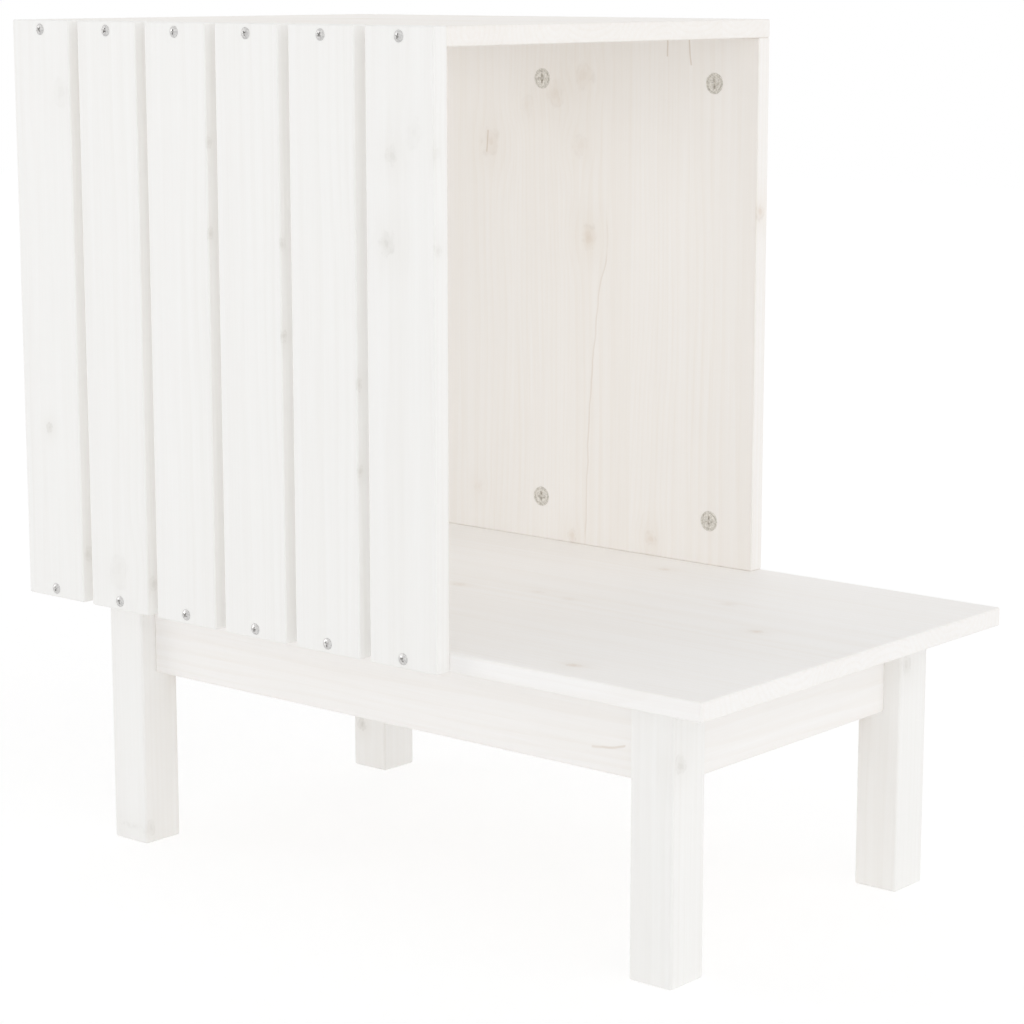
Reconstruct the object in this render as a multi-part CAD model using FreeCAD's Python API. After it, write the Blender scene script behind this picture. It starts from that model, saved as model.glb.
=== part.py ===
"""Raised wooden cat house: a den with one slatted side, open at both ends, on a legged platform.

Millimetres. +Z is up, the porch points to -Y, the slatted side faces -X.
The origin is on the floor, under the middle of the whole object.
"""
import FreeCAD, Part
import math
import os

# Overall size
LENGTH = 600.0
WIDTH = 362.0
HEIGHT = 600.0
DEN_LENGTH = 398.0
PLATFORM_TOP = 200.0

# Timber sections
BOARD = 13.0
SLAT_WIDTH = 58.5
SLAT_COUNT = 6
LEG = 34.0
APRON_HEIGHT = 58.5
EDGE_ROUND = 1.2
LEG_ROUND = 2.0

# Under frame: how far the legs stand in from the platform's edges, and the aprons from the legs' faces
LEG_INSET_SIDE = 27.0
LEG_INSET_END = 41.0
APRON_RECESS = 13.0

# Cam lock: a disc that turns in a blind bore and hooks behind the round head of a bolt
CAM_FROM_EDGE = 33.0
CAM_FROM_FRONT = 39.0
CAM_PITCH = 161.0
CAM_RADIUS = 7.5
CAM_DEPTH = 10.6
CAM_CLEARANCE = 0.1
CAM_FACE = 3.0
CAM_CAVITY_RADIUS = 5.2
CAM_ECCENTRICITY = 0.75
CAM_SLOT = 4.6
CAM_CROSS_LENGTH = 8.4
CAM_CROSS_WIDTH = 1.9
CAM_CROSS_DEPTH = 1.5
CAM_ARROW_TIP = 6.8
CAM_ARROW_FOOT = 4.9
CAM_ARROW_HALF_WIDTH = 1.4
CAM_ARROW_DEPTH = 0.5
CAM_RIM_WIDTH = 1.1
CAM_RIM_DEPTH = 0.35
CAM_BOLT_HEAD_RADIUS = 3.2
CAM_BOLT_HEAD_OFFSET = 1.15
CAM_BOLT_NECK_RADIUS = 2.0
CAM_BOLT_SHAFT_RADIUS = 3.4
CAM_BOLT_COLLAR_RADIUS = 3.9
CAM_BOLT_COLLAR = 2.0
CAM_BOLT_THREAD_RADIUS = 3.0
CAM_BOLT_THREAD = 10.0
CAM_BOLT_BORE_RADIUS = 4.0

# Wooden dowels
DOWEL_RADIUS = 3.95
DOWEL_BORE_RADIUS = 4.05
DOWEL_CHAMFER = 0.8
WALL_DOWEL_IN_BOARD = 8.0
WALL_DOWEL_IN_WALL = 20.0
APRON_DOWEL_HALF = 14.0
DOWEL_END_ROOM = 1.0
LONG_APRON_DOWEL_Z = 141.0
SHORT_APRON_DOWEL_Z = 152.0

# Screws: thread diameter, head diameter, length
SLAT_SCREW = (4.0, 7.8, 38.0)
BLOCK_SCREW = (3.5, 6.8, 16.0)
PLATFORM_SCREW = (4.0, 7.8, 25.0)
SCREW_PITCH = 1.8
SCREW_CORE = 0.68
THREAD_FLANK = 0.35
SCREW_TIP = 4.0
SCREW_ROOM = 0.25
SCREW_CLEARANCE = 0.08
HEAD_LAND = 0.4
SLAT_SCREW_TURN_STEP = 25.0
SLAT_SCREW_TURN = {"top": 40.0, "bottom": 10.0}
SLAT_SCREW_DOME = 1.4

# A screw's cross recess, as shares of its head's diameter, and a cross's floor as a share of its length
CROSS_LENGTH = 0.52
CROSS_WIDTH = 0.15
CROSS_DEPTH = 0.22
CROSS_FLOOR = 0.4

# Corner blocks, measured inwards from a leg's two outer faces
BLOCK_NEAR = 50.0
BLOCK_FAR = 81.0
BLOCK_HEIGHT = 45.0
BLOCK_SCREW_AT = 68.0
BLOCK_SCREW_SEAT = 33.0
BLOCK_SCREW_Z = (152.0, 177.0)
PLATFORM_SCREW_SPREAD = 10.0
PLATFORM_SCREW_SEAT_Z = 171.0

# Hanger bolt along each corner's diagonal
HANGER_Z = 164.0
HANGER_RADIUS = 3.0
HANGER_IN_LEG = 13.0
HANGER_FLAT = 6.0
HANGER_CLEARANCE = 0.15
WASHER_RADIUS = 6.5
WASHER = 1.6
NUT_ACROSS_FLATS = 10.0
NUT = 5.0
HANGER_PROUD = 2.5

# Where the boards are: the width is over the slat screws' heads
RIGHT = WIDTH / 2
LEFT = -WIDTH / 2 + SLAT_SCREW_DOME
BACK = LENGTH / 2
FRONT = -LENGTH / 2
BOARD_LEFT = LEFT + BOARD
DEN_FRONT = BACK - DEN_LENGTH
PLATFORM_BOTTOM = PLATFORM_TOP - BOARD
TOP_UNDERSIDE = HEIGHT - BOARD
WALL_INNER = RIGHT - BOARD
WALL_MIDDLE = RIGHT - BOARD / 2
SLAT_GAP = (DEN_LENGTH - SLAT_COUNT * SLAT_WIDTH) / (SLAT_COUNT - 1)
APRON_BOTTOM = PLATFORM_BOTTOM - APRON_HEIGHT
APRON_INNER = APRON_RECESS + BOARD

LEG_LEFT = BOARD_LEFT + LEG_INSET_SIDE
LEG_RIGHT = RIGHT - LEG_INSET_SIDE
LEG_FRONT = FRONT + LEG_INSET_END
LEG_BACK = BACK - LEG_INSET_END

CAM_Y = [DEN_FRONT + CAM_FROM_FRONT + i * CAM_PITCH for i in range(3)]
WALL_DOWEL_Y = [(a + b) / 2 for a, b in zip(CAM_Y, CAM_Y[1:])]
SLAT_Y = [BACK - SLAT_WIDTH - i * (SLAT_WIDTH + SLAT_GAP) for i in range(SLAT_COUNT)]
SLAT_MIDDLES = [y + SLAT_WIDTH / 2 for y in SLAT_Y]

# Each leg's outer corner, and the way from it towards the middle
CORNERS = {
    "front_left": (LEG_LEFT, LEG_FRONT, 1, 1),
    "front_right": (LEG_RIGHT, LEG_FRONT, -1, 1),
    "rear_left": (LEG_LEFT, LEG_BACK, 1, -1),
    "rear_right": (LEG_RIGHT, LEG_BACK, -1, -1),
}

UP = FreeCAD.Vector(0, 0, 1)
DOWN = FreeCAD.Vector(0, 0, -1)
TO_LEFT = FreeCAD.Vector(-1, 0, 0)
TO_FRONT = FreeCAD.Vector(0, -1, 0)


def vec(x, y, z):
    """A point or direction."""
    return FreeCAD.Vector(x, y, z)


def box(x0, x1, y0, y1, z0, z1):
    """A plain block between two corners."""
    return Part.makeBox(x1 - x0, y1 - y0, z1 - z0, vec(x0, y0, z0))


def board(x0, x1, y0, y1, z0, z1, rounding=EDGE_ROUND):
    """A planed board with all its edges eased."""
    blank = box(x0, x1, y0, y1, z0, z1)
    return blank.makeFillet(rounding, blank.Edges)


def rod(radius, length, start, direction):
    """A round bar or bore from a start point along a direction."""
    return Part.makeCylinder(radius, length, start, direction)


def drill(solid, cutters):
    """A solid with all the cutters taken out of it."""
    return solid.cut(cutters) if cutters else solid


def place(solid, origin, direction, turn=0.0):
    """Move a solid made along +Z at the origin so that it points along a direction."""
    moved = solid.copy()
    moved.rotate(vec(0, 0, 0), UP, turn)
    spin = FreeCAD.Rotation(UP, direction)
    moved.Placement = FreeCAD.Placement(origin, spin).multiply(moved.Placement)
    return moved


def revolve(profile):
    """A solid of revolution about Z from (radius, height) points, closed along the axis."""
    points = [vec(r, 0, z) for r, z in profile]
    outline = Part.makePolygon(points + [points[0]])
    return Part.Face(outline).revolve(vec(0, 0, 0), UP, 360)


def wedge_cross(length, width, depth):
    """A driver's cross recess that narrows downwards from its top at Z = 0."""
    half = length / 2
    foot = half * CROSS_FLOOR
    blades = []
    for turn in (0, 90):
        outline = Part.makePolygon(
            [
                vec(-half, -width / 2, HEAD_LAND),
                vec(half, -width / 2, HEAD_LAND),
                vec(half, -width / 2, 0),
                vec(foot, -width / 2, -depth),
                vec(-foot, -width / 2, -depth),
                vec(-half, -width / 2, 0),
                vec(-half, -width / 2, HEAD_LAND),
            ]
        )
        blade = Part.Face(outline).extrude(vec(0, width, 0))
        blade.rotate(vec(0, 0, 0), UP, turn)
        blades.append(blade)
    return blades[0].fuse(blades[1])


def hex_bar(across_flats, height):
    """A hexagonal bar from Z = 0 upwards."""
    radius = across_flats / math.sqrt(3)
    angles = [i * math.pi / 3 for i in range(6)]
    points = [vec(radius * math.cos(a), radius * math.sin(a), 0) for a in angles]
    return Part.Face(Part.makePolygon(points + [points[0]])).extrude(vec(0, 0, height))


def head_dome(radius, height):
    """A round cap that stands on Z = 0."""
    ball = (radius ** 2 + height ** 2) / (2 * height)
    sphere = Part.makeSphere(ball, vec(0, 0, height - ball))
    return sphere.common(rod(radius, height, vec(0, 0, 0), UP))


def wood_screw(size, dome=0.0):
    """A countersunk wood screw with its head's rim at Z = 0, its point down -Z and a cross in its flat or domed head."""
    thread, head, length = size
    outer = thread / 2
    core = outer * SCREW_CORE
    neck = HEAD_LAND + head / 2 - outer
    profile = [(0, 0), (head / 2, 0), (head / 2, -HEAD_LAND), (outer, -neck)]
    turns = int((length - SCREW_TIP - neck) / SCREW_PITCH)
    start = length - SCREW_TIP - turns * SCREW_PITCH
    profile.append((outer, -start))
    for i in range(turns):
        z = start + i * SCREW_PITCH
        profile.append((core, -(z + SCREW_PITCH * THREAD_FLANK)))
        profile.append((core, -(z + SCREW_PITCH * (1 - THREAD_FLANK))))
        profile.append((outer, -(z + SCREW_PITCH)))
    profile.append((0, -length))
    screw = revolve(profile)
    if dome:
        screw = screw.fuse(head_dome(head / 2, dome)).removeSplitter()
    cross = wedge_cross(head * CROSS_LENGTH, head * CROSS_WIDTH, head * CROSS_DEPTH)
    cross.translate(vec(0, 0, dome))
    return screw.cut(cross)


def screw_bore(size, counterbore=0.0):
    """The hole that a wood screw fills, with room above the head to drive it in."""
    thread, head, length = size
    outer = thread / 2 + SCREW_CLEARANCE
    rim = head / 2 + SCREW_CLEARANCE
    above = HEAD_LAND + SCREW_ROOM + counterbore
    profile = [
        (0, above),
        (rim, above),
        (rim, -HEAD_LAND),
        (outer, -HEAD_LAND - head / 2 + thread / 2),
        (outer, -length - SCREW_CLEARANCE),
        (0, -length - SCREW_CLEARANCE),
    ]
    return revolve(profile)


def wooden_dowel(length):
    """A dowel from Z = 0 upwards, chamfered at both ends."""
    inner = DOWEL_RADIUS - DOWEL_CHAMFER
    profile = [
        (0, 0),
        (inner, 0),
        (DOWEL_RADIUS, DOWEL_CHAMFER),
        (DOWEL_RADIUS, length - DOWEL_CHAMFER),
        (inner, length),
        (0, length),
    ]
    return revolve(profile)


def cam_disc():
    """A cam lock with its visible face at Z = 0 and its body down -Z, locked on a bolt along +Y."""
    middle = -BOARD / 2
    disc = rod(CAM_RADIUS, CAM_DEPTH, vec(0, 0, -CAM_DEPTH), UP)
    cavity_depth = CAM_DEPTH - CAM_FACE
    cavity = rod(CAM_CAVITY_RADIUS, cavity_depth, vec(0, -CAM_ECCENTRICITY, -CAM_DEPTH), UP)
    outside = 2 * CAM_RADIUS
    low = middle - CAM_SLOT / 2
    high = middle + CAM_SLOT / 2
    half_turn_slot = box(0, outside, -outside, outside, low, high)
    neck_slot = box(-CAM_SLOT / 2, CAM_SLOT / 2, 0, outside, low, high)
    way_in = rod(CAM_BOLT_HEAD_RADIUS + CAM_CLEARANCE, outside, vec(0, 0, middle), TO_FRONT)
    groove_outer = CAM_RADIUS - CAM_RIM_WIDTH
    groove = rod(groove_outer, CAM_RIM_DEPTH, vec(0, 0, -CAM_RIM_DEPTH), UP).cut(
        rod(groove_outer - CAM_RIM_WIDTH / 2, CAM_RIM_DEPTH, vec(0, 0, -CAM_RIM_DEPTH), UP)
    )
    cross = wedge_cross(CAM_CROSS_LENGTH, CAM_CROSS_WIDTH, CAM_CROSS_DEPTH)
    return disc.cut([cavity, half_turn_slot, neck_slot, way_in, groove, cross, cam_arrow()])


def cam_arrow():
    """The arrow cut into a cam's face, which points at its bolt when it is locked."""
    foot = [vec(-CAM_ARROW_HALF_WIDTH, CAM_ARROW_FOOT, 0), vec(CAM_ARROW_HALF_WIDTH, CAM_ARROW_FOOT, 0)]
    points = foot + [vec(0, CAM_ARROW_TIP, 0)]
    arrow = Part.Face(Part.makePolygon(points + [points[0]])).extrude(vec(0, 0, CAM_ARROW_DEPTH + HEAD_LAND))
    arrow.translate(vec(0, 0, -CAM_ARROW_DEPTH))
    return arrow


def cam_bolt():
    """A bolt with its collar's seat at Z = 0, its thread upwards and its round head below."""
    head_z = CAM_BOLT_HEAD_OFFSET - CAM_FROM_EDGE
    neck_top = -CAM_FROM_EDGE + CAM_RADIUS + CAM_CLEARANCE
    profile = [
        (0, CAM_BOLT_THREAD),
        (CAM_BOLT_THREAD_RADIUS - DOWEL_CHAMFER, CAM_BOLT_THREAD),
        (CAM_BOLT_THREAD_RADIUS, CAM_BOLT_THREAD - DOWEL_CHAMFER),
        (CAM_BOLT_THREAD_RADIUS, 0),
        (CAM_BOLT_COLLAR_RADIUS, 0),
        (CAM_BOLT_COLLAR_RADIUS, -CAM_BOLT_COLLAR),
        (CAM_BOLT_SHAFT_RADIUS, -CAM_BOLT_COLLAR),
        (CAM_BOLT_SHAFT_RADIUS, neck_top),
        (CAM_BOLT_NECK_RADIUS, neck_top),
        (CAM_BOLT_NECK_RADIUS, head_z),
        (0, head_z),
    ]
    head = Part.makeSphere(CAM_BOLT_HEAD_RADIUS, vec(0, 0, head_z))
    return revolve(profile).fuse(head).removeSplitter()


def wall_joints():
    """Cams, bolts, dowels and bores that hold the wall between the platform and the top.

    Returns the cams as {(end, place): solid}, and the bolts, dowels and cutters as lists by name.
    """
    disc = cam_disc()
    bolt = cam_bolt()
    pin = wooden_dowel(WALL_DOWEL_IN_BOARD + WALL_DOWEL_IN_WALL)
    cams = {}
    made = {"bolts": [], "dowels": [], "wall": [], "top": [], "platform": []}
    ends = {"top": (TOP_UNDERSIDE, UP), "bottom": (PLATFORM_TOP, DOWN)}
    for end, (seat_z, outward) in ends.items():
        board_cuts = made["top" if end == "top" else "platform"]
        for where, y in zip(("front", "middle", "rear"), CAM_Y):
            seat = vec(WALL_MIDDLE, y, seat_z)
            centre = seat - outward * CAM_FROM_EDGE
            face = centre + TO_LEFT * (BOARD / 2)
            cams[end, where] = turned_to(disc, face, TO_LEFT, outward)
            made["bolts"].append(place(bolt, seat, outward))
            bore_depth = CAM_DEPTH + CAM_CLEARANCE
            made["wall"].append(rod(CAM_RADIUS + CAM_CLEARANCE, bore_depth, face, -TO_LEFT))
            made["wall"].append(rod(CAM_BOLT_BORE_RADIUS, CAM_FROM_EDGE, seat, -outward))
            thread_bore = CAM_BOLT_THREAD_RADIUS + SCREW_CLEARANCE
            board_cuts.append(rod(thread_bore, CAM_BOLT_THREAD + SCREW_CLEARANCE, seat, outward))
        for y in WALL_DOWEL_Y:
            seat = vec(WALL_MIDDLE, y, seat_z)
            foot = seat - outward * WALL_DOWEL_IN_WALL
            made["dowels"].append(place(pin, foot, outward))
            wall_depth = WALL_DOWEL_IN_WALL + DOWEL_END_ROOM
            made["wall"].append(rod(DOWEL_BORE_RADIUS, wall_depth, seat, -outward))
            board_depth = WALL_DOWEL_IN_BOARD + DOWEL_END_ROOM
            board_cuts.append(rod(DOWEL_BORE_RADIUS, board_depth, seat, outward))
    return cams, made


def turned_to(disc, face, normal, bolt_way):
    """Place a cam disc so that its face looks along normal and its locked slot looks along bolt_way."""
    side = bolt_way.cross(normal)
    frame = FreeCAD.Matrix(
        side.x, bolt_way.x, normal.x, face.x,
        side.y, bolt_way.y, normal.y, face.y,
        side.z, bolt_way.z, normal.z, face.z,
        0, 0, 0, 1,
    )
    moved = disc.copy()
    moved.Placement = FreeCAD.Placement(frame)
    return moved


def make_slats(parts, top_cuts, platform_cuts):
    """The upright slats, their screws, and the screws' bores in the two boards."""
    screw = wood_screw(SLAT_SCREW, SLAT_SCREW_DOME)
    bore = screw_bore(SLAT_SCREW)
    rows = {"top": (HEIGHT - BOARD / 2, top_cuts), "bottom": (PLATFORM_TOP - BOARD / 2, platform_cuts)}
    screws = {"top": [], "bottom": []}
    for index, y in enumerate(SLAT_Y):
        slat = board(LEFT, BOARD_LEFT, y, y + SLAT_WIDTH, PLATFORM_BOTTOM, HEIGHT)
        cutters = []
        for row, (z, board_cuts) in rows.items():
            head = vec(LEFT, SLAT_MIDDLES[index], z)
            turn = SLAT_SCREW_TURN[row] + index * SLAT_SCREW_TURN_STEP
            screws[row].append(place(screw, head, TO_LEFT, turn))
            hole = place(bore, head, TO_LEFT)
            cutters.append(hole)
            board_cuts.append(hole)
        parts[f"side_slat_{index + 1}"] = drill(slat, cutters)
    for row, group in screws.items():
        parts[f"slat_screws_{row}"] = Part.makeCompound(group)


def diagonal(corner, along, z):
    """A point on a corner's diagonal, at a distance from the leg's outer corner."""
    x, y, to_x, to_y = corner
    step = along / math.sqrt(2)
    return vec(x + to_x * step, y + to_y * step, z)


def corner_joint(name, parts, groups, cuts):
    """One corner block with its hanger bolt, screws and the bores they need."""
    corner = CORNERS[name]
    x, y, to_x, to_y = corner
    long_side = [(APRON_INNER, BLOCK_NEAR), (APRON_INNER, BLOCK_FAR)]
    short_side = [(BLOCK_FAR, APRON_INNER), (BLOCK_NEAR, APRON_INNER)]
    bottom = PLATFORM_BOTTOM - BLOCK_HEIGHT
    points = [vec(x + to_x * a, y + to_y * b, bottom) for a, b in long_side + short_side]
    block = Part.Face(Part.makePolygon(points + [points[0]])).extrude(vec(0, 0, BLOCK_HEIGHT))
    block_cuts = []

    # The hanger bolt runs along the diagonal from the leg through the block
    inwards = vec(to_x, to_y, 0).normalize()
    leg_corner = LEG * math.sqrt(2)
    flat = leg_corner - HANGER_FLAT
    block_far = (APRON_INNER + BLOCK_FAR) / math.sqrt(2)
    bolt_start = flat - HANGER_IN_LEG
    bolt_end = block_far + WASHER + NUT + HANGER_PROUD
    start = diagonal(corner, bolt_start, HANGER_Z)
    groups["hanger_bolts"].append(rod(HANGER_RADIUS, bolt_end - bolt_start, start, inwards))
    bolt_hole = rod(HANGER_RADIUS + HANGER_CLEARANCE, bolt_end - bolt_start, start, inwards)
    block_cuts.append(bolt_hole)
    seat = diagonal(corner, block_far, HANGER_Z)
    washer = rod(WASHER_RADIUS, WASHER, seat, inwards)
    groups["hanger_washers"].append(washer.cut(bolt_hole))
    groups["hanger_nuts"].append(hex_nut(seat + inwards * WASHER, inwards).cut(bolt_hole))

    # The leg's inner edge is cut flat where the bolt goes in
    outward = diagonal(corner, flat, 0)
    cutter = Part.makeBox(LEG, LEG, APRON_HEIGHT, vec(-LEG / 2, 0, APRON_BOTTOM))
    cutter.rotate(vec(0, 0, 0), UP, math.degrees(math.atan2(to_y, to_x)) - 90)
    cutter.translate(outward)
    cuts[f"leg_{name}"] += [cutter, bolt_hole]

    # Two screws into each apron, and two up into the platform
    long_apron = "apron_left" if to_x > 0 else "apron_right"
    short_apron = "apron_front" if to_y > 0 else "apron_rear"
    screw = wood_screw(BLOCK_SCREW)
    hole = screw_bore(BLOCK_SCREW, BLOCK_FAR - BLOCK_SCREW_AT)
    ways = [
        (long_apron, x + to_x * BLOCK_SCREW_SEAT, y + to_y * BLOCK_SCREW_AT, vec(to_x, 0, 0)),
        (short_apron, x + to_x * BLOCK_SCREW_AT, y + to_y * BLOCK_SCREW_SEAT, vec(0, to_y, 0)),
    ]
    for apron, screw_x, screw_y, way in ways:
        for z in BLOCK_SCREW_Z:
            head = vec(screw_x, screw_y, z)
            groups["block_screws"].append(place(screw, head, way))
            block_cuts.append(place(hole, head, way))
            cuts[apron].append(place(hole, head, way))
    screw = wood_screw(PLATFORM_SCREW)
    hole = screw_bore(PLATFORM_SCREW, PLATFORM_SCREW_SEAT_Z - bottom)
    middle = (APRON_INNER + (BLOCK_NEAR + BLOCK_FAR) / 2) / 2
    for side in (-1, 1):
        spread = side * PLATFORM_SCREW_SPREAD
        head = vec(x + to_x * (middle + spread), y + to_y * (middle - spread), PLATFORM_SCREW_SEAT_Z)
        groups["platform_screws"].append(place(screw, head, DOWN))
        block_cuts.append(place(hole, head, DOWN))
        cuts["platform_board"].append(place(hole, head, DOWN))
    parts[f"corner_block_{name}"] = drill(block, block_cuts)


def hex_nut(seat, way):
    """A plain hexagon nut, standing on its seat along a direction."""
    return place(hex_bar(NUT_ACROSS_FLATS, NUT), seat, way)


def make_under_frame(parts, cuts):
    """Legs, aprons, corner blocks and what fastens them."""
    groups = {name: [] for name in ("hanger_bolts", "hanger_washers", "hanger_nuts")}
    groups.update({name: [] for name in ("block_screws", "platform_screws", "apron_dowels")})
    for name in CORNERS:
        cuts[f"leg_{name}"] = []
    for name in ("apron_left", "apron_right", "apron_front", "apron_rear"):
        cuts[name] = []
    for name in CORNERS:
        corner_joint(name, parts, groups, cuts)
        apron_dowels(name, groups, cuts)

    inner_front = LEG_FRONT + LEG
    inner_back = LEG_BACK - LEG
    inner_left = LEG_LEFT + LEG
    inner_right = LEG_RIGHT - LEG
    aprons = {
        "apron_left": (LEG_LEFT + APRON_RECESS, LEG_LEFT + APRON_INNER, inner_front, inner_back),
        "apron_right": (LEG_RIGHT - APRON_INNER, LEG_RIGHT - APRON_RECESS, inner_front, inner_back),
        "apron_front": (inner_left, inner_right, LEG_FRONT + APRON_RECESS, LEG_FRONT + APRON_INNER),
        "apron_rear": (inner_left, inner_right, LEG_BACK - APRON_INNER, LEG_BACK - APRON_RECESS),
    }
    for name, (x0, x1, y0, y1) in aprons.items():
        parts[name] = drill(board(x0, x1, y0, y1, APRON_BOTTOM, PLATFORM_BOTTOM), cuts[name])
    for name, (x, y, to_x, to_y) in CORNERS.items():
        x0, x1 = sorted((x, x + to_x * LEG))
        y0, y1 = sorted((y, y + to_y * LEG))
        leg = board(x0, x1, y0, y1, 0, PLATFORM_BOTTOM, LEG_ROUND)
        parts[f"leg_{name}"] = drill(leg, cuts[f"leg_{name}"])
    for name, group in groups.items():
        parts[name] = Part.makeCompound(group)


def apron_dowels(name, groups, cuts):
    """The two dowels that locate a leg on its two aprons."""
    x, y, to_x, to_y = CORNERS[name]
    middle = APRON_RECESS + BOARD / 2
    long_apron = "apron_left" if to_x > 0 else "apron_right"
    short_apron = "apron_front" if to_y > 0 else "apron_rear"
    seats = [
        (long_apron, vec(x + to_x * middle, y + to_y * LEG, LONG_APRON_DOWEL_Z), vec(0, to_y, 0)),
        (short_apron, vec(x + to_x * LEG, y + to_y * middle, SHORT_APRON_DOWEL_Z), vec(to_x, 0, 0)),
    ]
    pin = wooden_dowel(2 * APRON_DOWEL_HALF)
    depth = APRON_DOWEL_HALF + DOWEL_END_ROOM
    for apron, seat, way in seats:
        groups["apron_dowels"].append(place(pin, seat - way * APRON_DOWEL_HALF, way))
        cuts[f"leg_{name}"].append(rod(DOWEL_BORE_RADIUS, depth, seat, -way))
        cuts[apron].append(rod(DOWEL_BORE_RADIUS, depth, seat, way))


def make_house():
    """All the pieces, as {node name: shape}."""
    parts = {}
    cams, made = wall_joints()
    for (end, where), cam in cams.items():
        parts[f"cam_{end}_{where}"] = cam
    wall = board(WALL_INNER, RIGHT, DEN_FRONT, BACK, PLATFORM_TOP, TOP_UNDERSIDE)
    parts["right_wall"] = drill(wall, made["wall"])
    parts["cam_bolts"] = Part.makeCompound(made["bolts"])
    parts["wall_dowels"] = Part.makeCompound(made["dowels"])
    cuts = {"platform_board": made["platform"], "top_board": made["top"]}

    make_slats(parts, cuts["top_board"], cuts["platform_board"])
    make_under_frame(parts, cuts)
    platform = board(BOARD_LEFT, RIGHT, FRONT, BACK, PLATFORM_BOTTOM, PLATFORM_TOP)
    parts["platform_board"] = drill(platform, cuts["platform_board"])
    top = board(BOARD_LEFT, RIGHT, DEN_FRONT, BACK, TOP_UNDERSIDE, HEIGHT)
    parts["top_board"] = drill(top, cuts["top_board"])
    return parts


def main():
    os.makedirs("parts", exist_ok=True)
    for name, shape in make_house().items():
        bounds = shape.BoundBox
        size = f"{bounds.XLength:.1f} x {bounds.YLength:.1f} x {bounds.ZLength:.1f}"
        print(f"{name}: {len(shape.Solids)} solids, valid {shape.isValid()}, {size}")
        shape.exportStep(f"parts/{name}.step")


main()
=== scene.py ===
"""Looks of a white-stained pine cat house: its boards, screws, cam locks, studio floor, lamps and camera.

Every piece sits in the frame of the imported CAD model, in metres: +Z is up, the porch points to -Y and the
slats to -X.
"""

import logging
import math
import random
from dataclasses import dataclass
from enum import Enum

import bpy
from mathutils import Euler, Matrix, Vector


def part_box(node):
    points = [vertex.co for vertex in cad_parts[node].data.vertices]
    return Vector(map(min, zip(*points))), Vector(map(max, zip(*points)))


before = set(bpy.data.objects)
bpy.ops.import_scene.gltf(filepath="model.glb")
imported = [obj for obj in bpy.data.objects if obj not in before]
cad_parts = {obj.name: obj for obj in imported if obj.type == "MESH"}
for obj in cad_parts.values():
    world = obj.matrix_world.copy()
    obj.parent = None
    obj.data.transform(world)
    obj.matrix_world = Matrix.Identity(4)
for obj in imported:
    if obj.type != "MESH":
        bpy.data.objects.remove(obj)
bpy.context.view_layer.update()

log = logging.getLogger("cat_house")

MM = 0.001

Socket = bpy.types.NodeSocket
Feed = Socket | float | tuple[float, ...]
Point = tuple[float, float, float]


class Axis(Enum):
    """The three directions of the shared frame."""

    X = 0
    Y = 1
    Z = 2


def srgb(red: int, green: int, blue: int) -> tuple[float, float, float, float]:
    """Turns a colour as a screen shows it into the linear one that shaders take.

    Args:
        red: Red from 0 to 255.
        green: Green from 0 to 255.
        blue: Blue from 0 to 255.

    Returns:
        The linear colour, with full alpha.
    """
    def linear(level: int) -> float:
        """Undoes the screen's curve for one channel."""
        share = level / 255
        return share / 12.92 if share <= 0.04045 else ((share + 0.055) / 1.055) ** 2.4

    return linear(red), linear(green), linear(blue), 1.0


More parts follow.
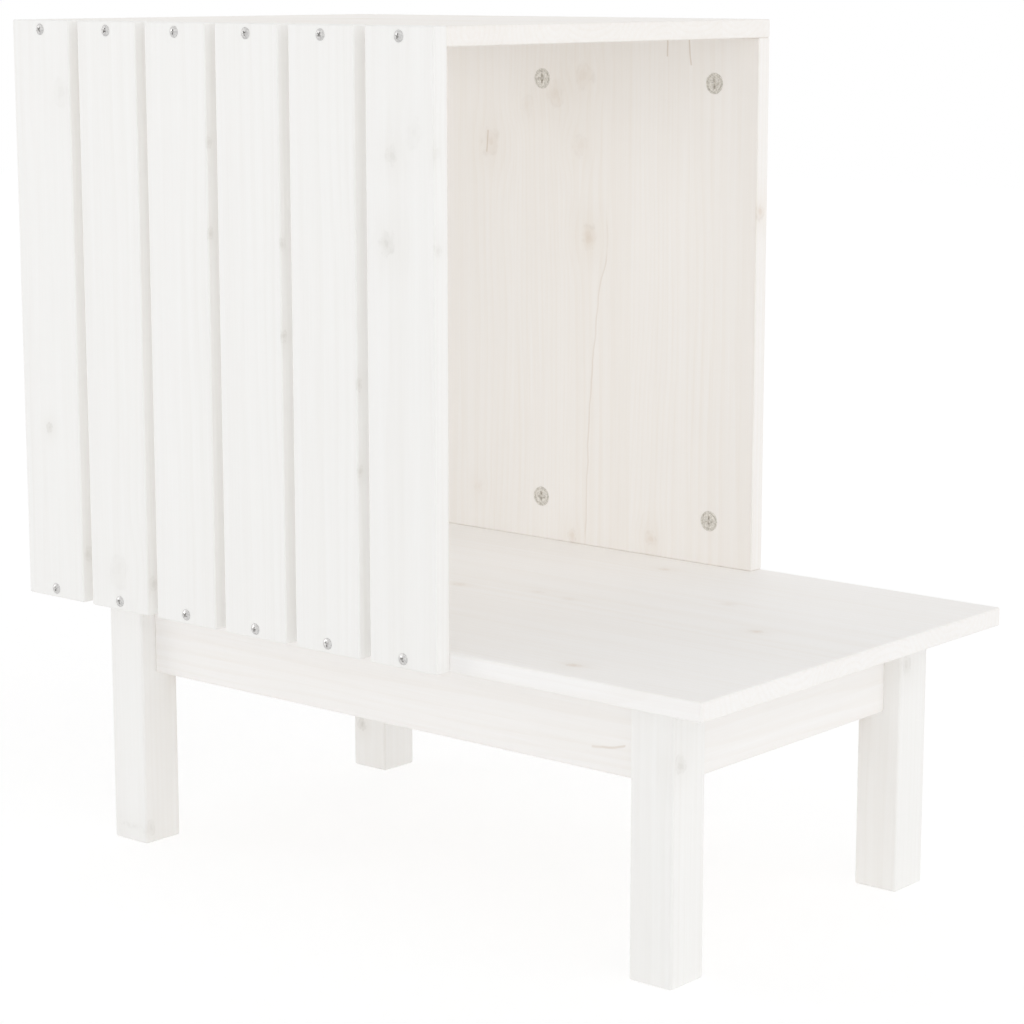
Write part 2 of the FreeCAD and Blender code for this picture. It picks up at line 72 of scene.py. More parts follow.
class ShaderGraph:
    """The nodes of one material or world, wired in code so that a pattern reads as a formula."""

    def __init__(self, owner: bpy.types.Material | bpy.types.World) -> None:
        """Starts with an empty tree.

        Args:
            owner: The new material or world.
        """
        owner.use_nodes = True
        self.owner = owner
        self.tree = owner.node_tree
        self.tree.nodes.clear()

    @classmethod
    def material(cls, name: str) -> "ShaderGraph":
        """Starts a new material and returns its graph."""
        return cls(bpy.data.materials.new(name))

    def add(self, kind: str, inputs: dict[str | int, Feed], **settings: object) -> bpy.types.Node:
        """Adds a node.

        Args:
            kind: Blender's name of the node's type.
            inputs: What each input gets, a socket to link or a constant.
            **settings: Properties of the node.

        Returns:
            The new node.
        """
        node = self.tree.nodes.new(kind)
        for key, value in settings.items():
            setattr(node, key, value)
        for key, value in inputs.items():
            if isinstance(value, Socket):
                self.tree.links.new(value, node.inputs[key])
            else:
                node.inputs[key].default_value = value
        return node

    def math(self, operation: str, *values: Feed) -> Socket:
        """Combines numbers with a Math node and returns its output."""
        return self.add("ShaderNodeMath", dict(enumerate(values)), operation=operation).outputs[0]

    def total(self, *values: Feed) -> Socket:
        """Adds up two or more numbers and returns the sum's output."""
        result = self.math("ADD", values[0], values[1])
        for value in values[2:]:
            result = self.math("ADD", result, value)
        return result

    def vector(self, operation: str, *values: Feed) -> Socket:
        """Combines vectors with a Vector Math node and returns its vector."""
        node = self.add("ShaderNodeVectorMath", dict(enumerate(values)), operation=operation)
        return node.outputs["Vector"]

    def ramp(self, value: Feed, low: float, high: float) -> Socket:
        """Eases a number from 0 at low to 1 at high and returns the output."""
        inputs = {"Value": value, "From Min": low, "From Max": high}
        return self.add("ShaderNodeMapRange", inputs, interpolation_type="SMOOTHSTEP").outputs[0]

    def spread(self, value: Feed, low: float, high: float) -> Socket:
        """Maps a number from 0 to 1 straight onto low to high and returns the output."""
        return self.math("MULTIPLY_ADD", value, high - low, low)

    def mix(self, factor: Feed, first: Feed, second: Feed) -> Socket:
        """Mixes two colours and returns the result's output."""
        node = self.add("ShaderNodeMix", {0: factor, 6: first, 7: second}, data_type="RGBA")
        return node.outputs[2]

    def noise(self, place: Socket, scale: Point, shift: Feed, detail: float = 2.0) -> Socket:
        """Reads smooth noise at a stretched place.

        Args:
            place: The place on the piece.
            scale: How many cells to the metre, along each axis.
            shift: What is added after scaling, so that pieces differ.
            detail: How many finer layers are added.

        Returns:
            The noise, about 0.5 on average.
        """
        stretched = self.vector("MULTIPLY_ADD", place, scale, shift)
        node = self.add("ShaderNodeTexNoise", {"Vector": stretched, "Scale": 1.0, "Detail": detail})
        return node.outputs[0]

    def bump(self, height: Socket, strength: float, distance: float) -> Socket:
        """Turns a height into a normal and returns its output."""
        inputs = {"Height": height, "Strength": strength, "Distance": distance}
        return self.add("ShaderNodeBump", inputs).outputs["Normal"]

    def shown(self) -> Socket:
        """Returns 1 for rays that show a thing, straight or in gloss or glass, and 0 for the others."""
        path = self.add("ShaderNodeLightPath", {}).outputs
        in_gloss = self.math("MAXIMUM", path["Is Glossy Ray"], path["Is Transmission Ray"])
        return self.math("MAXIMUM", path["Is Camera Ray"], in_gloss)

    def surface(self, shader: Socket) -> bpy.types.Material:
        """Ends the graph in a shader and returns the material."""
        self.add("ShaderNodeOutputMaterial", {"Surface": shader}, is_active_output=True)
        return self.owner


@dataclass(frozen=True)
class Knot:
    """A branch that the saw cut through.

    Attributes:
        at: Its middle, in millimetres.
        radius: Its radius, in millimetres.
        runs: The direction in which the branch runs through the board.
        dark: How much of its colour shows through the stain.
        reach: How far it runs to each side of its middle, in millimetres.
    """

    at: Point
    radius: float
    runs: Axis
    dark: float
    reach: float = 60.0


@dataclass(frozen=True)
class Streak:
    """A thin line of pitch that wanders along the grain.

    Attributes:
        points: Places along the grain and across it, in millimetres.
        width: Half its width, in millimetres.
        dark: How much of its colour shows through the stain.
        face_at: The place of the one face that it shows in, in millimetres, or None if it runs through.
    """

    points: tuple[tuple[float, float], ...]
    width: float
    dark: float
    face_at: float | None = None


@dataclass(frozen=True)
class Board:
    """One wooden node of the CAD model and what its timber looks like.

    Attributes:
        node: The node's name.
        grain: The direction of its fibres.
        face: The direction through its thickness.
        bare: How much of the timber's own colour shows through the stain.
        strips: How many sticks it is glued up from, side by side.
        knots: Its knots.
        streaks: Its pitch lines.
    """

    node: str
    grain: Axis
    face: Axis
    bare: float
    strips: int = 1
    knots: tuple[Knot, ...] = ()
    streaks: tuple[Streak, ...] = ()

    @property
    def across(self) -> Axis:
        """The direction across its fibres, in its face."""
        return next(axis for axis in Axis if axis not in (self.grain, self.face))

    def spaced(self, along: float, across: float) -> Point:
        """A scale for noise with one value along the grain and one across it."""
        return tuple(along if axis is self.grain else across for axis in Axis)


@dataclass(frozen=True)
class StainedPine:
    """Pine under a thin white stain, matt, with rings, fibres, knots and pitch showing faintly.

    Attributes:
        stain: Colour where the stain lies thick.
        timber: Colour where the wood shows through.
        knot: Colour of a knot's heart.
        rim: Colour of a knot's rim.
        pitch: Colour of a line of pitch.
        ring: How much late wood shows.
        fibre: How much the fibres show.
        cloud: How uneven the stain is.
        worn: How much the stain is rubbed thin along edges.
        end: How much darker end grain is.
        edge_share: How much of the bare timber that a face shows is also seen on the narrow edges.
    """

    stain: tuple[float, float, float, float]
    timber: tuple[float, float, float, float]
    knot: tuple[float, float, float, float]
    rim: tuple[float, float, float, float]
    pitch: tuple[float, float, float, float]
    ring: float = 0.035
    fibre: float = 0.05
    cloud: float = 0.05
    worn: float = 0.04
    end: float = 0.02
    edge_share: float = 1.0

    def material(self, board: Board) -> bpy.types.Material:
        """Wires the material of one board.

        Args:
            board: The board to dress.

        Returns:
            Its material, with its own knots and grain.
        """
        return PineGrain(self, board).build()


class PineGrain:
    """The nodes of one board's timber."""

    RING_PITCH = 4.6 * MM
    RING_WANDER = 16 * MM
    PITH_DEPTH = 70 * MM
    KNOT_STRETCH = 1.3
    KNOT_RIM_SHARE = 0.3
    KNOT_HALO_SHARE = 0.35
    KNOT_PUSH = -0.8
    STICK_SPREAD = 0.015
    PITCH_DEPTH = 5 * MM
    PITCH_WOBBLE = 1.6 * MM
    EDGE_RUBBED = (0.6 * MM, 2.6 * MM)
    GRAIN_HEIGHT = 0.25 * MM

    def __init__(self, finish: StainedPine, board: Board) -> None:
        """Reads the board's place and starts its graph.

        Args:
            finish: The stained timber that the board is made of.
            board: The board to dress.
        """
        self.finish = finish
        self.board = board
        self.graph = ShaderGraph.material(board.node)
        self.low, self.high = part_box(board.node)
        self.draw = random.Random(board.node)
        coordinates = self.graph.add("ShaderNodeTexCoord", {})
        self.place = coordinates.outputs["Object"]
        self.normal = coordinates.outputs["Normal"]
        split = self.graph.add("ShaderNodeSeparateXYZ", {0: self.place})
        self.at = {axis: split.outputs[axis.value] for axis in Axis}
        self.shift = tuple(self.draw.uniform(-40, 40) for _ in Axis)

    def gap(self, axis: Axis, value: float) -> Socket:
        """The distance from a plane square to an axis, with its sign."""
        return self.graph.math("SUBTRACT", self.at[axis], value)

    def sticks(self) -> tuple[Feed, Feed, Feed]:
        """Splits a glued-up board into its sticks.

        Returns:
            The distance across from each stick's pith, the pith's depth behind the face, and a number from 0
            to 1 that differs from stick to stick.
        """
        g, across = self.graph, self.board.across
        start, width = self.low[across.value], self.high[across.value] - self.low[across.value]
        middle = (self.low[self.board.face.value] + self.high[self.board.face.value]) / 2
        from_start = self.gap(across, start)
        through = self.gap(self.board.face, middle)
        if self.board.strips == 1:
            pith = width * self.draw.uniform(0.2, 0.8)
            behind = self.draw.uniform(25, 70) * MM * self.draw.choice((-1, 1))
            return g.math("SUBTRACT", from_start, pith), g.math("ADD", through, behind), 0.5
        step = width / self.board.strips
        count = g.math("FLOOR", g.math("DIVIDE", from_start, step))
        seed = g.math("ADD", count, self.shift[0])
        chance = g.add("ShaderNodeTexWhiteNoise", {"W": seed}, noise_dimensions="1D")
        parts = g.add("ShaderNodeSeparateColor", {0: chance.outputs["Color"]})
        in_stick = g.math("MULTIPLY_ADD", count, -step, from_start)
        pith = g.spread(parts.outputs[0], 0.1 * step, 0.9 * step)
        behind = g.spread(parts.outputs[1], -self.PITH_DEPTH, self.PITH_DEPTH)
        return g.math("SUBTRACT", in_stick, pith), g.math("ADD", through, behind), parts.outputs[2]

    def knot_parts(self, knot: Knot, fibres: Socket) -> tuple[Socket, Socket, Socket]:
        """Measures one knot.

        Args:
            knot: The knot to measure.
            fibres: Noise along the grain, which frays the knot's outline.

        Returns:
            Its heart with its own rings, its broken rim, and how near the grain around it is, each from
            0 to 1.
        """
        g, radius = self.graph, knot.radius * MM
        square: Socket | None = None
        for axis in Axis:
            if axis is knot.runs:
                continue
            stretch = self.KNOT_STRETCH if axis is self.board.grain else 1.0
            offset = g.math("DIVIDE", self.gap(axis, knot.at[axis.value] * MM), radius * stretch)
            part = g.math("MULTIPLY", offset, offset)
            square = part if square is None else g.math("ADD", square, part)
        cells = 0.7 / radius
        ragged = g.noise(self.place, (cells, cells, cells), self.shift)
        distance = g.total(g.math("SQRT", square), g.spread(ragged, -0.7, 0.7), g.spread(fibres, -0.4, 0.4))
        depth = g.math("ABSOLUTE", self.gap(knot.runs, knot.at[knot.runs.value] * MM))
        inside = g.ramp(depth, 1.25 * knot.reach * MM, knot.reach * MM)
        rings = g.math("SINE", g.math("MULTIPLY_ADD", distance, 15.0, g.math("MULTIPLY", ragged, 6.0)))
        pith = g.ramp(distance, 0.55, 0.05)
        body = g.math("MULTIPLY_ADD", pith, 0.45, g.math("MULTIPLY", g.ramp(distance, 1.25, 0.3), 0.55))
        heart = g.math("MULTIPLY", g.math("MULTIPLY", body, inside), g.math("MULTIPLY_ADD", rings, 0.1, 0.9))
        off_rim = g.math("ABSOLUTE", g.math("SUBTRACT", distance, 0.92))
        broken = g.ramp(g.noise(self.place, (cells * 1.7,) * 3, (5.0, 1.0, 8.0)), 0.38, 0.62)
        rim = g.math("MULTIPLY", g.ramp(off_rim, 0.3, 0.0), g.math("MULTIPLY", broken, inside))
        around = g.math("MULTIPLY", g.math("EXPONENT", g.math("MULTIPLY", square, -0.16)), inside)
        return heart, rim, around

    def streak_mask(self, streak: Streak) -> Socket:
        """Measures how near a place is to a pitch line, from 0 to 1."""
        g = self.graph
        alongs = [point[0] for point in streak.points]
        acrosses = [point[1] for point in streak.points]
        low_along, high_along = min(alongs), max(alongs)
        low_across = min(acrosses) - 1
        room = max(acrosses) + 1 - low_across
        run = g.math("DIVIDE", self.gap(self.board.grain, low_along * MM), (high_along - low_along) * MM)
        curve = g.add("ShaderNodeFloatCurve", {"Value": run})
        line = curve.mapping.curves[0]
        spots = sorted(((a - low_along) / (high_along - low_along), (c - low_across) / room)
                       for a, c in streak.points)
        while len(line.points) < len(spots):
            line.points.new(0.5, 0.5)
        for point, spot in zip(line.points, spots):
            point.location = spot
        curve.mapping.update()
        middle = g.spread(curve.outputs[0], low_across * MM, (low_across + room) * MM)
        wobble = g.noise(self.place, self.board.spaced(45, 8), self.shift)
        aside = g.math("SUBTRACT", self.at[self.board.across], middle)
        aside = g.math("ADD", aside, g.spread(wobble, -self.PITCH_WOBBLE, self.PITCH_WOBBLE))
        near = g.ramp(g.math("ABSOLUTE", aside), streak.width * MM, 0.2 * streak.width * MM)
        ends = g.math("MULTIPLY", g.ramp(run, 0.0, 0.06), g.ramp(run, 1.0, 0.94))
        broken = g.ramp(g.noise(self.place, self.board.spaced(28, 3), self.shift), 0.15, 0.5)
        mask = g.math("MULTIPLY", g.math("MULTIPLY", near, ends), broken)
        if streak.face_at is not None:
            depth = g.math("ABSOLUTE", self.gap(self.board.face, streak.face_at * MM))
            mask = g.math("MULTIPLY", mask, g.ramp(depth, self.PITCH_DEPTH, 0.6 * self.PITCH_DEPTH))
        return mask

    def facing(self, axis: Axis) -> Socket:
        """Finds the faces that are square to an axis, 1 on them and 0 on the others."""
        way = tuple(1.0 if each is axis else 0.0 for each in Axis)
        turned = self.graph.add("ShaderNodeVectorMath", {0: self.normal, 1: way}, operation="DOT_PRODUCT")
        return self.graph.ramp(self.graph.math("ABSOLUTE", turned.outputs["Value"]), 0.6, 0.9)

    def rubbed(self) -> Socket:
        """Finds the board's edges, where two of its faces are near, and returns how near from 0 to 1."""
        g = self.graph
        near = []
        for axis in Axis:
            below, above = self.gap(axis, self.low[axis.value]), self.gap(axis, self.high[axis.value])
            near.append(g.math("MINIMUM", g.math("ABSOLUTE", below), g.math("ABSOLUTE", above)))
        least = g.math("MINIMUM", g.math("MINIMUM", near[0], near[1]), near[2])
        most = g.math("MAXIMUM", g.math("MAXIMUM", near[0], near[1]), near[2])
        second = g.math("SUBTRACT", g.math("SUBTRACT", g.total(*near), least), most)
        edge = g.ramp(second, self.EDGE_RUBBED[1], self.EDGE_RUBBED[0])
        patchy = g.ramp(g.noise(self.place, (60.0, 60.0, 60.0), self.shift), 0.35, 0.65)
        return g.math("MULTIPLY", edge, g.spread(patchy, 0.35, 1.0))

    def build(self) -> bpy.types.Material:
        """Wires rings, fibres, knots, pitch and edges into a matt surface and returns the material."""
        g, finish, board = self.graph, self.finish, self.board
        aside, through, chance = self.sticks()
        stick_shift: Feed = self.shift
        if isinstance(chance, Socket):
            far = g.math("MULTIPLY", chance, 50.0)
            stick_shift = g.add("ShaderNodeCombineXYZ", {0: far, 1: far, 2: far}).outputs[0]
        fine = g.noise(self.place, board.spaced(16, 900), stick_shift, 3.0)
        coarse = g.noise(self.place, board.spaced(3.5, 260), stick_shift, 2.0)
        cloud = g.noise(self.place, board.spaced(2.2, 20), stick_shift, 3.0)
        hearts: list[Socket] = []
        rims: list[Socket] = []
        halos: list[Socket] = []
        for knot in board.knots:
            heart, rim, around = self.knot_parts(knot, coarse)
            hearts.append(g.math("MULTIPLY", heart, knot.dark))
            rims.append(g.math("MULTIPLY", rim, self.KNOT_RIM_SHARE * knot.dark))
            halos.append(g.math("MULTIPLY", around, self.KNOT_HALO_SHARE * knot.dark))
            if knot.runs is board.face:
                pushed = g.math("MULTIPLY", self.gap(board.across, knot.at[board.across.value] * MM), around)
                aside = g.math("MULTIPLY_ADD", pushed, self.KNOT_PUSH, aside)
        wander = g.noise(self.place, board.spaced(2.6, 11), stick_shift)
        aside = g.math("ADD", aside, g.spread(wander, -self.RING_WANDER, self.RING_WANDER))
        reach = g.math("SQRT", g.math("ADD", g.math("MULTIPLY", aside, aside),
                                      g.math("MULTIPLY", through, through)))
        phase = g.math("FRACT", g.math("DIVIDE", reach, self.RING_PITCH))
        late = g.math("SUBTRACT", g.ramp(phase, 0.35, 0.9), g.ramp(phase, 0.92, 1.0))
        end = self.facing(board.grain)
        rubbed = self.rubbed()
        shows = g.total(
            g.math("MULTIPLY", late, finish.ring),
            g.spread(fine, -finish.fibre, finish.fibre),
            g.spread(coarse, -finish.fibre, finish.fibre),
            g.spread(cloud, -finish.cloud, finish.cloud),
            g.math("MULTIPLY", rubbed, finish.worn),
            g.math("MULTIPLY", end, finish.end),
            g.spread(chance, -self.STICK_SPREAD, self.STICK_SPREAD) if isinstance(chance, Socket) else 0.0,
            g.spread(self.facing(board.face), finish.edge_share * board.bare, board.bare),
            *halos,
        )
        shows = g.math("MINIMUM", g.math("MAXIMUM", shows, 0.0), 1.0)
        colour = g.mix(shows, finish.stain, finish.timber)
        height = g.total(g.math("MULTIPLY", fine, 0.5), g.math("MULTIPLY", coarse, 0.3),
                         g.math("MULTIPLY", late, 0.25))
        for heart, rim in zip(hearts, rims):
            colour = g.mix(heart, colour, finish.knot)
            colour = g.mix(rim, colour, finish.rim)
            height = g.math("MULTIPLY_ADD", rim, -0.8, height)
        for streak in board.streaks:
            mask = g.math("MULTIPLY", self.streak_mask(streak), streak.dark)
            colour = g.mix(mask, colour, finish.pitch)
            height = g.math("MULTIPLY_ADD", mask, -1.5, height)
        rough = g.math("SUBTRACT", g.spread(fine, 0.52, 0.72), g.math("MULTIPLY", late, 0.06))
        shader = g.add("ShaderNodeBsdfPrincipled", {
            "Base Color": colour, "Roughness": rough, "Specular IOR Level": 0.35,
            "Normal": g.bump(height, 0.35, self.GRAIN_HEIGHT)})
        return g.surface(shader.outputs["BSDF"])


@dataclass(frozen=True)
class Metal:
    """A bare or plated metal, its colour and gloss a little uneven.

    Attributes:
        name: The material's name.
        colour: Its brighter colour.
        dull: Its duller colour, in patches.
        bare: How much of it shines as clean metal under the oxide.
        rough: The least and most roughness.
        grit: The height of its surface grain, in millimetres.
        cells: How many patches lie in a metre.
    """

    name: str
    colour: tuple[float, float, float, float]
    dull: tuple[float, float, float, float]
    bare: float
    rough: tuple[float, float]
    grit: float
    cells: float

    def material(self) -> bpy.types.Material:
        """Wires the metal and returns its material."""
        g = ShaderGraph.material(self.name)
        place = g.add("ShaderNodeTexCoord", {}).outputs["Object"]
        patch = g.noise(place, (self.cells,) * 3, (3.0, 7.0, 1.0), 3.0)
        grain = g.noise(place, (self.cells * 6,) * 3, (9.0, 2.0, 5.0), 2.0)
        shader = g.add("ShaderNodeBsdfPrincipled", {
            "Base Color": g.mix(g.ramp(patch, 0.35, 0.65), self.colour, self.dull),
            "Metallic": self.bare, "Roughness": g.spread(grain, *self.rough),
            "Normal": g.bump(grain, 0.3, self.grit * MM)})
        return g.surface(shader.outputs["BSDF"])


@dataclass(frozen=True)
class TurnedBeech:
    """Bare beech of the dowels, with fine flecks.

    Attributes:
        pale: Its ground colour.
        fleck: The colour of its short rays.
    """

    pale: tuple[float, float, float, float]
    fleck: tuple[float, float, float, float]

    def material(self) -> bpy.types.Material:
        """Wires the beech and returns its material."""
        g = ShaderGraph.material("dowel_beech")
        place = g.add("ShaderNodeTexCoord", {}).outputs["Object"]
        rays = g.noise(place, (900.0, 900.0, 900.0), (1.0, 4.0, 2.0), 2.0)
        tone = g.noise(place, (90.0, 90.0, 90.0), (6.0, 2.0, 8.0), 2.0)
        colour = g.mix(g.math("MULTIPLY", g.ramp(rays, 0.5, 0.7), tone), self.pale, self.fleck)
        shader = g.add("ShaderNodeBsdfPrincipled", {
            "Base Color": colour, "Roughness": g.spread(tone, 0.5, 0.7),
            "Normal": g.bump(rays, 0.3, 0.1 * MM)})
        return g.surface(shader.outputs["BSDF"])


THICK_STAIN = StainedPine(
    stain=srgb(248, 248, 247), timber=srgb(208, 201, 189), knot=srgb(176, 172, 160), rim=srgb(138, 132, 118),
    pitch=srgb(186, 160, 124))
THIN_STAIN = StainedPine(
    stain=srgb(249, 248, 247), timber=srgb(212, 192, 162), knot=srgb(196, 168, 138), rim=srgb(140, 110, 84),
    pitch=srgb(176, 146, 106), ring=0.036, edge_share=0.7)
BARE_PINE = StainedPine(
    stain=srgb(226, 205, 170), timber=srgb(190, 150, 102), knot=srgb(150, 104, 62), rim=srgb(94, 60, 36),
    pitch=srgb(120, 78, 40), ring=0.45, fibre=0.2, cloud=0.25, worn=0.1, end=0.25)
BEECH = TurnedBeech(pale=srgb(222, 190, 150), fleck=srgb(176, 132, 90))
ZINC_PLATE = Metal("zinc_plate", srgb(220, 219, 217), srgb(194, 193, 192), 0.85, (0.30, 0.45), 0.01, 900.0)
CAST_ZINC = Metal("cast_zinc", srgb(232, 229, 223), srgb(202, 198, 190), 0.4, (0.45, 0.65), 0.02, 900.0)


def dress(node: str, material: bpy.types.Material) -> None:
    """Puts a material in every slot of a CAD node's object.

    Args:
        node: The node's name.
        material: What it is made of.
    """
    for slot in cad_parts[node].material_slots:
        slot.material = material
    log.info("dressed %s in %s", node, material.name)


def scattered(node: str, runs: Axis, count: int, radii: tuple[float, float], dark: float) -> tuple[Knot, ...]:
    """Scatters knots over a board where the photograph doesn't reach.

    Args:
        node: The board's node, whose name also seeds the draw.
        runs: The direction in which the branches run.
        count: How many knots.
        radii: The least and most radius, in millimetres.
        dark: How dark the darkest is.

    Returns:
        The knots.
    """
    draw = random.Random(node + "_knots")
    low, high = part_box(node)
    found = []
    for _ in range(count):
        at = tuple(draw.uniform(low[axis.value], high[axis.value]) / MM for axis in Axis)
        found.append(Knot(at, draw.uniform(*radii), runs, draw.uniform(0.5, 1.0) * dark))
    return tuple(found)


def face_knots(axis: Axis, *knots: tuple[Point, float, float]) -> tuple[Knot, ...]:
    """Names knots that run straight through a board's face.

    Args:
        axis: The direction that they run in.
        *knots: Each one's middle and radius in millimetres, and its darkness.

    Returns:
        The knots.
    """
    return tuple(Knot(at, radius, axis, dark) for at, radius, dark in knots)


def edge_knots(axis: Axis, *knots: tuple[Point, float, float]) -> tuple[Knot, ...]:
    """Names knots that show in a board's narrow edge and end a few millimetres inside it.

    Args:
        axis: The direction square to the edge.
        *knots: Each one's middle and radius in millimetres, and its darkness.

    Returns:
        The knots.
    """
    return tuple(Knot(at, radius, axis, dark, 1.0) for at, radius, dark in knots)


@dataclass
class Den:
    """The den: its top, its solid wall on the right and the upright slats on its left."""

    slat_count: int = 6
    wall_strips: int = 7
    slat_bare: float = 0.08
    wall_bare: float = 0.105
    # More timber shows on the top board than on the wall: besides its own tone, this darkens its broad faces
    # as painted shade for its up-facing top
    top_bare_with_painted_shade: float = 0.15
    wall_face: float = 168

    def slats(self) -> list[Board]:
        """Lists the slats, the rearmost first, with the knots that each one shows."""
        face, edge = Axis.X, Axis.Y
        knots = {
            1: face_knots(face, ((-180, 272.5, 311.5), 3, 0.36), ((-180, 251, 550), 7, 0.1))
            + edge_knots(edge, ((-174, 241.5, 222), 4, 0.2)),
            2: face_knots(face, ((-180, 203, 214), 9, 0.1))
            + edge_knots(edge, ((-174, 173.6, 209), 3.5, 0.22)),
            3: edge_knots(edge, ((-177.5, 105.7, 521), 3, 0.2), ((-177.5, 105.7, 460), 3, 0.24)),
            4: edge_knots(edge, ((-177.5, 37.8, 457), 3, 0.2), ((-177.5, 37.8, 396), 3, 0.28)),
            5: edge_knots(edge, ((-177.5, -30.1, 370), 3, 0.24), ((-177.5, -30.1, 313), 3, 0.24)),
            6: face_knots(face, ((-180, -62, 519), 4.5, 0.2), ((-180, -81, 534), 7, 0.1),
                          ((-180, -57.5, 463), 6, 0.28))
            + edge_knots(edge, ((-178, -98, 521), 3.5, 0.14), ((-177, -98, 461), 3.5, 0.16)),
        }
        return [Board(f"side_slat_{n}", Axis.Z, face, self.slat_bare, knots=knots[n])
                for n in range(1, self.slat_count + 1)]

    def panels(self) -> list[Board]:
        """Lists the wall and the top."""
        inner = self.wall_face
        wall_knots = face_knots(
            Axis.X, ((inner, 56, 436.5), 7, 0.24), ((inner, 65, 505), 6, 0.12), ((inner, 62, 557), 8, 0.16),
            ((inner, 89, 543), 8, 0.16), ((inner, 153, 504), 8, 0.2), ((inner, 117, 534), 6, 0.08),
            ((inner, 71, 206), 4, 0.2), ((inner, -5.5, 213), 5, 0.22), ((inner, 166, 234), 4, 0.1))
        wall_knots += edge_knots(Axis.Y, ((172, -98, 464), 5, 0.3))
        crack = ((460, 40), (432, 38.5), (402, 44.5), (372, 48.5), (327, 53), (267, 56.5), (200, 58))
        short_lines = (((587, -16), (572, -16.5)), ((587, -36), (566, -38)), ((514, 156), (496, 157)))
        pitch = (Streak(crack, 1.1, 0.17, inner), *(Streak(line, 1.0, 0.3, inner) for line in short_lines))
        return [
            Board("right_wall", Axis.Z, Axis.X, self.wall_bare, self.wall_strips, wall_knots, pitch),
            # The top board's extra timber colour is partly painted shade on its up-facing top face
            Board("top_board", Axis.Y, Axis.Z, self.top_bare_with_painted_shade, self.wall_strips - 1,
                  scattered("top_board", Axis.Z, 5, (4, 8), 0.22)),
        ]

    def dress(self) -> None:
        """Gives each of the den's boards its own timber."""
        for board in self.slats():
            dress(board.node, THICK_STAIN.material(board))
        for board in self.panels():
            dress(board.node, THIN_STAIN.material(board))


@dataclass
class Platform:
    """The board that is the den's floor and the porch in front of it."""

    strips: int = 6
    bare: float = 0.03

    def dress(self) -> None:
        """Gives the platform its timber."""
        knots = face_knots(
            Axis.Z, ((-3, 37, 200), 4, 0.18), ((-141, -181, 200), 4, 0.3), ((11, -214, 200), 4, 0.25),
            ((134, -44, 200), 4, 0.2), ((69, -150, 200), 5, 0.12), ((13, -23, 200), 4, 0.12),
            ((9, -54, 200), 4, 0.1))
        board = Board("platform_board", Axis.Y, Axis.Z, self.bare, self.strips, knots)
        dress(board.node, THIN_STAIN.material(board))


@dataclass
class UnderFrame:
    """Four square legs, four aprons between them and the blocks in their corners."""

    leg_bare: float = 0.08
    apron_bare: float = 0.05
    block_bare: float = 0.25

    def legs(self) -> list[Board]:
        """Lists the legs with the knots that each one shows."""
        knots = {
            "front_left": (Knot((-132, -259, 146.5), 5, Axis.Y, 0.25, 12),),
            "front_right": (Knot((127.6, -259, 161.5), 5, Axis.Y, 0.25, 12),),
            "rear_left": scattered("leg_rear_left", Axis.Y, 1, (4, 6), 0.25),
            "rear_right": (Knot((120, 250, 35), 4, Axis.X, 0.4, 12),),
        }
        return [Board(f"leg_{corner}", Axis.Z, Axis.X, self.leg_bare, knots=found)
                for corner, found in knots.items()]

    def aprons(self) -> list[Board]:
        """Lists the aprons."""
        pitch = Streak(((-183, 144), (-198, 146), (-212, 149)), 1.2, 0.25)
        return [
            Board("apron_left", Axis.Y, Axis.X, self.apron_bare, streaks=(pitch,)),
            Board("apron_right", Axis.Y, Axis.X, self.apron_bare,
                  knots=scattered("apron_right", Axis.X, 2, (4, 7), 0.3)),
            Board("apron_front", Axis.X, Axis.Y, self.apron_bare),
            Board("apron_rear", Axis.X, Axis.Y, self.apron_bare,
                  knots=scattered("apron_rear", Axis.Y, 1, (4, 7), 0.3)),
        ]

    def dress(self) -> None:
        """Gives legs and aprons stained timber and the hidden blocks bare timber."""
        for board in self.legs():
            dress(board.node, THICK_STAIN.material(board))
        for board in self.aprons():
            dress(board.node, THIN_STAIN.material(board))
        for end in ("front", "rear"):
            for side in ("left", "right"):
                block = Board(f"corner_block_{end}_{side}", Axis.X, Axis.Z, self.block_bare)
                dress(block.node, BARE_PINE.material(block))


@dataclass
class Hardware:
    """Screws, bolts, cam locks and dowels."""

    steel: tuple[str, ...] = ("slat_screws_top", "slat_screws_bottom", "cam_bolts", "hanger_bolts",
                              "hanger_washers", "hanger_nuts", "block_screws", "platform_screws")
    dowels: tuple[str, ...] = ("wall_dowels", "apron_dowels")
    cam_rows: tuple[str, ...] = ("top", "bottom")
    cam_places: tuple[str, ...] = ("front", "middle", "rear")

    def cams(self) -> list[str]:
        """Lists the nodes of the cam locks."""
        return [f"cam_{row}_{place}" for row in self.cam_rows for place in self.cam_places]

    def dress(self) -> None:
        """Gives each fitting its metal or wood."""
        plate, cast, beech = ZINC_PLATE.material(), CAST_ZINC.material(), BEECH.material()
        for node in self.steel:
            dress(node, plate)
        for node in self.cams():
            dress(node, cast)
        for node in self.dowels:
            dress(node, beech)


@dataclass(frozen=True)
class Lamp:
    """A wide, soft lamp far away.

    Attributes:
        name: The lamp's name.
        strength: Its strength, where pi lights a surface that faces it fully.
        source: The direction that its light comes from.
        angle: How wide it looks, in degrees.
    """

    name: str
    strength: float
    source: Point
    angle: float

    def hang(self) -> None:
        """Adds the lamp to the scene."""
        light = bpy.data.lights.new(self.name, "SUN")
        light.energy = self.strength
        light.angle = math.radians(self.angle)
        holder = bpy.data.objects.new(self.name, light)
        holder.rotation_euler = Vector(self.source).to_track_quat("Z", "Y").to_euler()
        bpy.context.scene.collection.objects.link(holder)


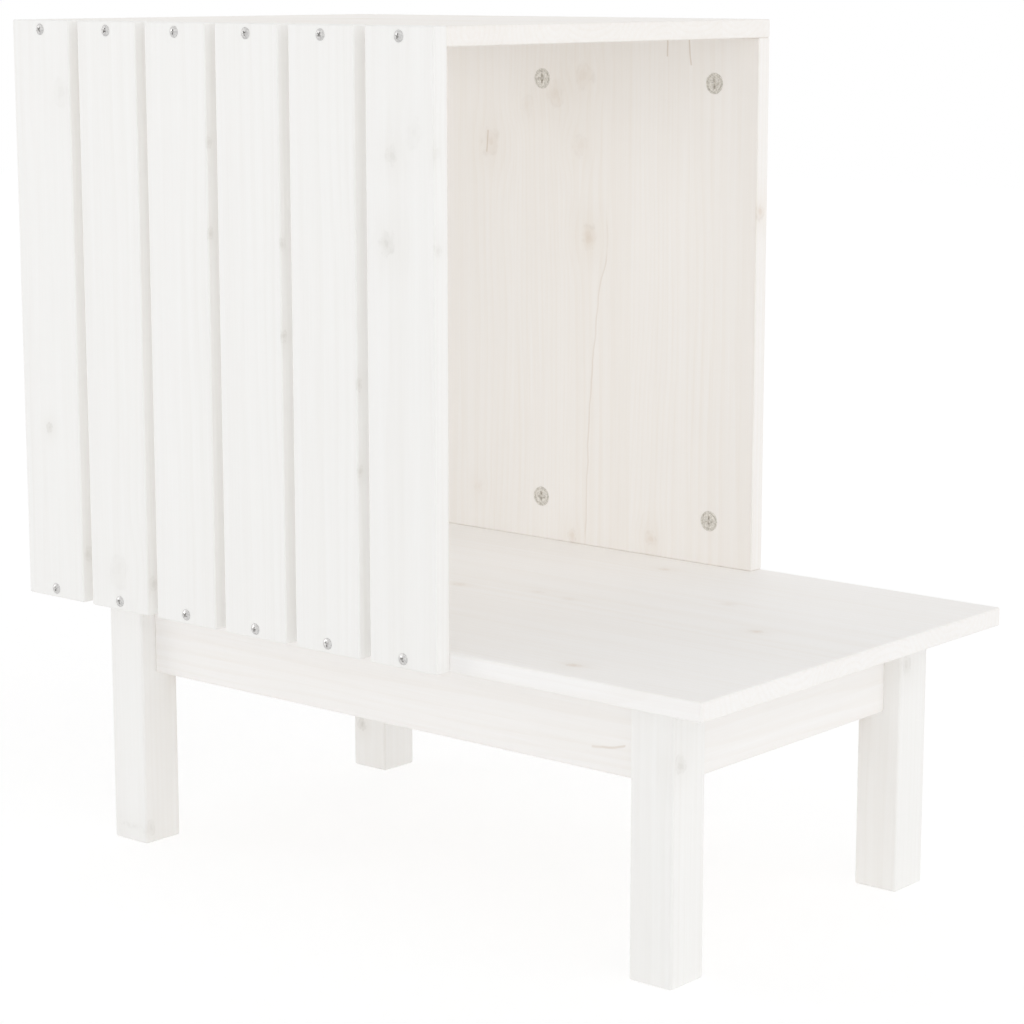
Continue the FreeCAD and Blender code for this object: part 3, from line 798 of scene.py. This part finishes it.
@dataclass
class Studio:
    """A white floor, a white surround, soft lamps and the camera."""

    lamps: tuple[Lamp, ...] = (
        Lamp("front_box", 0.80, (-0.25, -0.93, 0.26), 90.0),
        Lamp("rear_box", 0.56, (-0.50, 0.86, 0.09), 30.0),
        Lamp("back_box", 0.16, (0.59, 0.49, 0.64), 60.0),
    )
    floor_size: float = 12.0
    floor_glow: float = 0.70
    floor_seen: float = 0.35
    floor_bounce: float = 0.97
    floor_lit: float = 0.06
    light_low: tuple[float, float, float, float] = (0.82, 0.81, 0.80, 1.0)
    light_high: tuple[float, float, float, float] = (0.74, 0.74, 0.74, 1.0)
    overhead: tuple[float, float] = (0.0, 0.4)
    bounces: int = 12
    camera_at: Point = (-1.524, -1.296, 0.632)
    camera_yaw: float = -49.84
    camera_pitch: float = -10.62
    camera_lens: float = 101.0
    sensor: float = 36.0

    def floor(self) -> None:
        """Lays a floor that shows near white, keeps the object's shadow and throws light back up."""
        bpy.ops.object.select_all(action="DESELECT")
        bpy.ops.mesh.primitive_plane_add(size=self.floor_size, location=(0, 0, 0))
        plane = bpy.context.active_object
        plane.name = "studio_floor"
        g = ShaderGraph.material("studio_floor")
        bounce = g.add("ShaderNodeBsdfDiffuse", {"Color": (self.floor_bounce,) * 3 + (1.0,)})
        lit = g.add("ShaderNodeEmission", {"Strength": self.floor_lit})
        table = g.add("ShaderNodeAddShader", {0: bounce.outputs[0], 1: lit.outputs[0]})
        seen = g.add("ShaderNodeBsdfDiffuse", {"Color": (self.floor_seen,) * 3 + (1.0,)})
        glow = g.add("ShaderNodeEmission", {"Strength": self.floor_glow})
        both = g.add("ShaderNodeAddShader", {0: seen.outputs[0], 1: glow.outputs[0]})
        pick = g.add("ShaderNodeMixShader", {0: g.shown(), 1: table.outputs[0], 2: both.outputs[0]})
        plane.data.materials.append(g.surface(pick.outputs[0]))

    def surround(self) -> None:
        """Makes the world white to look at, and an even light that is weaker overhead than low down."""
        world = bpy.data.worlds.new("studio_surround")
        bpy.context.scene.world = world
        g = ShaderGraph(world)
        way = g.add("ShaderNodeTexCoord", {}).outputs["Generated"]
        height = g.add("ShaderNodeSeparateXYZ", {0: way}).outputs["Z"]
        light = g.mix(g.ramp(height, *self.overhead), self.light_low, self.light_high)
        colour = g.mix(g.shown(), light, (1.0, 1.0, 1.0, 1.0))
        background = g.add("ShaderNodeBackground", {"Color": colour, "Strength": 1.0})
        g.add("ShaderNodeOutputWorld", {"Surface": background.outputs[0]}, is_active_output=True)

    def camera(self) -> None:
        """Stands the camera where the photograph was taken from."""
        view = bpy.data.cameras.new("photograph_view")
        view.lens = self.camera_lens
        view.sensor_width = self.sensor
        holder = bpy.data.objects.new("photograph_view", view)
        holder.location = self.camera_at
        tip = math.radians(90 + self.camera_pitch)
        holder.rotation_euler = Euler((tip, 0.0, math.radians(self.camera_yaw)))
        bpy.context.scene.collection.objects.link(holder)
        bpy.context.scene.camera = holder

    def build(self) -> None:
        """Sets up floor, surround, lamps and camera."""
        self.floor()
        self.surround()
        for lamp in self.lamps:
            lamp.hang()
        self.camera()
        bpy.context.scene.view_settings.view_transform = "Standard"
        # Light goes to and fro in a white den more often than the usual four times
        bpy.context.scene.cycles.diffuse_bounces = self.bounces
        log.info("studio set up")


def main() -> None:
    """Dresses the cat house and sets up the studio around it."""
    logging.basicConfig(level=logging.INFO, format="%(message)s")
    Den().dress()
    Platform().dress()
    UnderFrame().dress()
    Hardware().dress()
    Studio().build()


if __name__ == "__main__":
    main()
